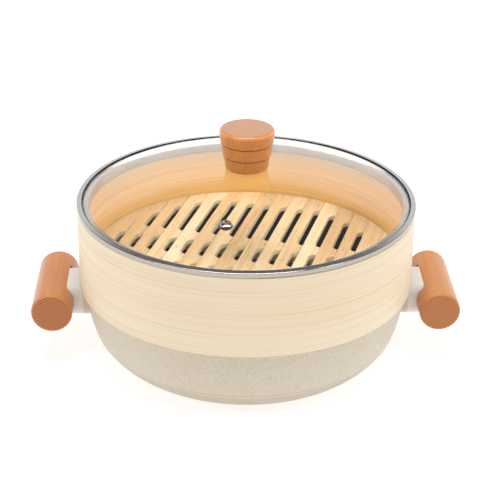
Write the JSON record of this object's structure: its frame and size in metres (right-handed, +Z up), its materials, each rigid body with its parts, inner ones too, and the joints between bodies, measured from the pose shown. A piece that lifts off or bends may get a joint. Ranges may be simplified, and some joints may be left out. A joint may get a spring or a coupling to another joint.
{
  "type": "steamer pot with bamboo steamer basket",
  "caption": "Low cast pot with round wooden handles, a bamboo steamer ring with a slatted grate, and a domed glass lid with a turned knob.",
  "frame": {"origin": "centre of the pot's base, on the surface that it stands on", "axes": "+Z up, X through both handles, +X towards the right handle seen from the front, the front being -Y"},
  "size_m": [0.3564, 0.28, 0.1971],
  "materials": {
    "pot_coating": "cast aluminium under a matte beige baked coating",
    "base_steel": "brushed steel disc with fine concentric marks",
    "beech": "turned beech, orange-brown clear lacquer",
    "hoop_wood": "pale bent wood, fine level grain, satin",
    "slat_bamboo": "split bamboo, fine long fibres, satin",
    "peg_bamboo": "plain bamboo rod",
    "polished_steel": "mirror-polished stainless steel",
    "screw_steel": "plain stainless steel",
    "brass": "plain turned brass",
    "silicone": "translucent white silicone",
    "lid_glass": "clear tempered glass"
  },
  "bodies": {
    "pot": {"pot_body": "pot_coating", "induction_plate": "base_steel", "handle_left": "beech", "handle_right": "beech", "handle_screws": "screw_steel"},
    "basket": {"outer_hoop": "hoop_wood", "inner_hoop": "hoop_wood", "ledge_hoop": "hoop_wood", "hoop_pins": "peg_bamboo", "slat_01": "slat_bamboo", "slat_02": "slat_bamboo", "slat_03": "slat_bamboo", "slat_04": "slat_bamboo", "slat_05": "slat_bamboo", "slat_06": "slat_bamboo", "slat_07": "slat_bamboo", "slat_08": "slat_bamboo", "slat_09": "slat_bamboo", "slat_10": "slat_bamboo", "slat_11": "slat_bamboo", "slat_12": "slat_bamboo", "slat_13": "slat_bamboo", "slat_14": "slat_bamboo", "slat_15": "slat_bamboo", "slat_16": "slat_bamboo", "slat_17": "slat_bamboo", "crossbar_front": "slat_bamboo", "crossbar_back": "slat_bamboo", "grate_pegs": "peg_bamboo"},
    "lid": {"lid_rim": "polished_steel", "lid_glass": "lid_glass", "knob": "beech", "knob_insert": "brass", "knob_screw": "screw_steel", "knob_washer": "screw_steel", "knob_gasket_upper": "silicone", "knob_gasket_lower": "silicone", "vent_eyelet": "polished_steel", "vent_collar": "polished_steel"}
  },
  "joints": [
    {"name": "basket_lift", "type": "slide", "parent": "pot", "child": "basket", "axis": [0, 0, 1], "range_m": [0, 0.1]},
    {"name": "lid_lift", "type": "slide", "parent": "basket", "child": "lid", "axis": [0, 0, 1], "range_m": [0, 0.1]}
  ]
}
